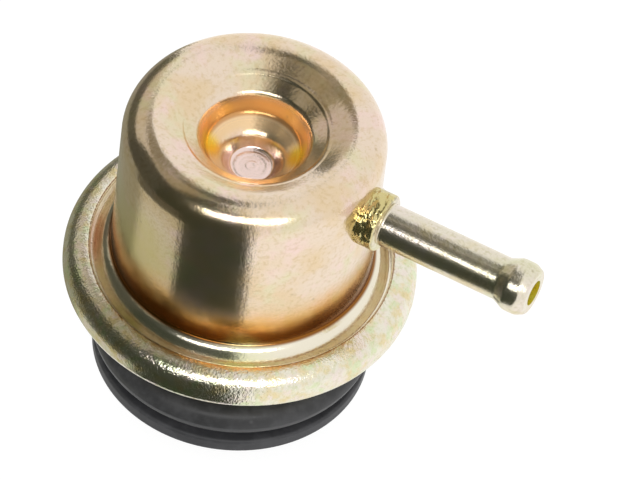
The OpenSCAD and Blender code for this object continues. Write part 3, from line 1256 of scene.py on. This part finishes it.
@dataclass
class KeptNodes:
    """The solids that stay as they are and only get a finish."""

    nodes: Dict[str, Object]

    @staticmethod
    def finishes() -> Dict[str, Finish]:
        """Chooses the finish of each kept node.

        Returns:
            The finishes by node.
        """
        pressed = MetalFinish(
            "pressed_plate", (0.60, 0.57, 0.48), (0.45, 0.43, 0.36), 0.32, (5.0, 5.0, 0.4)
        )
        return {
            "strainer_frame": RubberFinish(
                "strainer_moulding", (0.045, 0.045, 0.048), (0.068, 0.068, 0.072), 0.5
            ),
            "strainer_mesh": MetalFinish(
                "mesh_wire", (0.62, 0.61, 0.57), (0.42, 0.41, 0.38), 0.35, (7, 7, 7)
            ),
            "return_stem": MetalFinish("turned_stem", (0.66, 0.62, 0.52), (0.50, 0.47, 0.38), 0.26),
            "valve_seat": MetalFinish("seat_metal", (0.72, 0.53, 0.24), (0.55, 0.40, 0.18), 0.25),
            "valve_carrier": MetalFinish(
                "carrier_metal", (0.74, 0.56, 0.27), (0.58, 0.43, 0.20), 0.28
            ),
            "valve_ball": MetalFinish(
                "ball_metal", (0.75, 0.76, 0.78), (0.66, 0.67, 0.69), 0.12, (1, 1, 1), 0.002
            ),
            "spring_seat": pressed,
            "spring_cup": pressed,
            "diaphragm_support": pressed,
        }

    def dress(self) -> List[str]:
        """Assigns the finishes to the nodes' own slots.

        Returns:
            The nodes that were dressed.
        """
        made: Dict[str, Material] = {}
        for node, finish in self.finishes().items():
            if finish.name not in made:
                made[finish.name] = finish.make()
            slot = self.nodes[node].material_slots[0]
            slot.link = "OBJECT"
            slot.material = made[finish.name]
        return list(self.finishes())


@dataclass(frozen=True)
class Card:
    """A card bent round the part, which only reflections show.

    Its span is in degrees from the camera's azimuth, its path in millimetres.
    """

    name: str
    span: Point
    path: Sequence[Point]
    glow: Colour
    steps: int = 32


@dataclass
class Studio:
    """The camera, the pale floor, the white surround, the cards and the lamp."""

    azimuth: float = math.radians(22.9)
    elevation: float = math.radians(49.5)
    lean: float = math.radians(7.41)
    distance: float = 1.0
    lens: float = 499.2
    sensor: float = 36.0
    aim: Triple = (9.06, 2.87, 1.3)
    sky_lit: float = 0.85
    floor_z: float = -21.8
    floor_half: float = 1.5
    paper: StageFinish = StageFinish("paper", base=(0.2, 0.2, 0.2), lit=0.5, seen=0.88)
    card_lift: float = 0.3
    lamp_elevation: float = math.radians(42)
    lamp_reach: float = 180.0
    lamp_aim_z: float = 10.0
    lamp_size: Point = (170.0, 50.0)
    lamp_power: float = 0.12

    def camera(self) -> None:
        """Sets the camera at the photograph's angle."""
        sa, ca = math.sin(self.azimuth), math.cos(self.azimuth)
        se, ce = math.sin(self.elevation), math.cos(self.elevation)
        right = Vector((ca, sa, 0))
        back = Vector((sa * ce, -ca * ce, se))
        up = back.cross(right)
        across = math.cos(self.lean) * right + math.sin(self.lean) * up
        upright = math.cos(self.lean) * up - math.sin(self.lean) * right
        aim = Vector((0, 0, self.aim[2])) + across * self.aim[0] + upright * self.aim[1]
        data = bpy.data.cameras.new("camera")
        data.lens = self.lens
        data.sensor_width = self.sensor
        data.sensor_fit = "HORIZONTAL"
        cam = Maker.link("camera", data)
        place = Matrix((across, upright, back)).transposed().to_4x4()
        place.translation = aim * MM + back * self.distance
        cam.matrix_world = place
        bpy.context.scene.camera = cam

    def surround(self) -> None:
        """White for what is seen, and a plain level for what lights the part."""
        world = bpy.data.worlds.new("surround")
        world.use_nodes = True
        world.cycles.sampling_method = "NONE"
        g = Graph(world.node_tree)
        shade = world.node_tree.nodes["Background"]
        g.fill(shade, {"Color": WHITE, "Strength": g.level(self.sky_lit, 1.0)})
        bpy.context.scene.world = world

    def floor(self) -> None:
        """A pale floor that glows as paper does and still takes a shadow."""
        half, z = self.floor_half, self.floor_z * MM
        mesh = bpy.data.meshes.new("floor")
        corners = [(-half, -half, z), (half, -half, z), (half, half, z), (-half, half, z)]
        mesh.from_pydata(corners, [], [(0, 1, 2, 3)])
        mesh.materials.append(self.paper.make())
        obj = Maker.link("floor", mesh)

    def turned(self, azimuth: float, radius: float, height: float) -> Vector:
        """A point in millimetres at an azimuth to the right of the camera's own."""
        a = self.azimuth + math.radians(azimuth)
        return Vector((math.sin(a) * radius, -math.cos(a) * radius, height))

    def cards(self) -> List[Card]:
        """Lays out the photographer's room.

        Returns:
            The cards on the floor, in front, overhead, to the side and behind.
        """
        base = self.floor_z + self.card_lift
        near, middle, far = (24, base), (58, base), (210, base)
        wall = [far, (240, 40), (235, 105)]
        brow, peak, eave, ridge = (200, 220), (150, 280), (125, 285), (58, 307)
        rear = [(230, 262), (190, 330), (160, 330)]
        dark = (0.048, 0.054, 0.038)
        dim = (0.08, 0.078, 0.06)
        return [
            Card("front_floor_flag", (-48, 7), [near, far], dark),
            Card("side_floor_flag", (-90, -48), [near, middle], (0.62, 0.62, 0.52)),
            Card("side_far_flag", (-90, -48), [middle, far], (0.12, 0.12, 0.1)),
            Card("left_floor_flag", (-165, -90), [near, far], (0.31, 0.31, 0.24)),
            Card("front_flag", (-70, 7), [*wall, brow, peak], dark),
            Card("tube_flag", (-75, -30), [peak, eave, (50, 310)], (0.07, 0.068, 0.05)),
            Card("high_flag", (-125, -75), [eave, ridge], (0.34, 0.31, 0.23)),
            Card("soft_flag", (-30, -8), [peak, ridge], (0.5, 0.48, 0.4)),
            Card("over_flag", (-180, -75), [ridge, (2, 315)], dim),
            Card("over_back_flag", (-180, -125), [eave, ridge], dim),
            Card("side_flag", (-112, -70), [*wall, brow], (0.08, 0.08, 0.06)),
            Card("side_upper_flag", (-112, -70), [brow, eave], (0.38, 0.35, 0.26)),
            Card("left_flag", (-160, -112), wall, (0.12, 0.12, 0.09)),
            Card("left_upper_flag", (-160, -112), [wall[-1], brow], (0.62, 0.58, 0.48)),
            Card("back_flag", (-172, -105), rear, (0.26, 0.23, 0.16)),
        ]

    def hang(self, card: Card) -> None:
        """Bends a card round the part.

        Args:
            card: The card.
        """
        first, last = card.span
        verts: List[Vector] = []
        for k in range(card.steps + 1):
            azimuth = first + (last - first) * k / card.steps
            verts += [self.turned(azimuth, r, z) for r, z in card.path]
        count = len(card.path)
        faces = [
            [k * count + i, k * count + i + 1, (k + 1) * count + i + 1, (k + 1) * count + i]
            for k in range(card.steps)
            for i in range(count - 1)
        ]
        obj = Maker.finish_mesh(card.name, verts, faces)
        obj.data.materials.append(StageFinish(card.name, card.glow).make())
        obj.visible_camera = False
        obj.visible_diffuse = False
        obj.visible_shadow = False
        obj.visible_transmission = False

    def lamp(self) -> None:
        """Hangs a soft rectangular lamp over the camera, facing the part."""
        height = self.lamp_reach * math.sin(self.lamp_elevation) + self.lamp_aim_z
        at = self.turned(0, self.lamp_reach * math.cos(self.lamp_elevation), height)
        data = bpy.data.lights.new("key_box", "AREA")
        data.shape = "RECTANGLE"
        data.size, data.size_y = self.lamp_size[0] * MM, self.lamp_size[1] * MM
        data.energy = self.lamp_power
        obj = Maker.link("key_box", data)
        look = (at - Vector((0, 0, self.lamp_aim_z))).to_track_quat("Z", "Y")
        obj.matrix_world = Matrix.Translation(at * MM) @ look.to_matrix().to_4x4()

    def build(self) -> None:
        """Sets up the whole studio."""
        self.camera()
        self.surround()
        self.floor()
        for card in self.cards():
            self.hang(card)
        self.lamp()


def main() -> None:
    """Builds the pieces in order, reports each one, and sets up the studio."""
    logging.basicConfig(level=logging.INFO, format="%(message)s")
    bpy.context.scene.view_settings.view_transform = "Standard"
    makers = (
        SpringHousing(),
        LowerHousing(),
        VacuumNipple(),
        SealRing("body_seal_ring", "body_o_ring", 14.45, 3.5, -8.0),
        SealRing("stem_seal_ring", "stem_o_ring", 4.6, 2.4, -17.6),
        MainSpring(),
        Diaphragm(),
    )
    for maker in makers:
        obj = maker.build()
        LOG.info("%s has %d faces", obj.name, len(obj.data.polygons))
    for node in KeptNodes(frame["nodes"]).dress():
        LOG.info("%s keeps its solid", node)
    Studio().build()


if __name__ == "__main__":
    main()
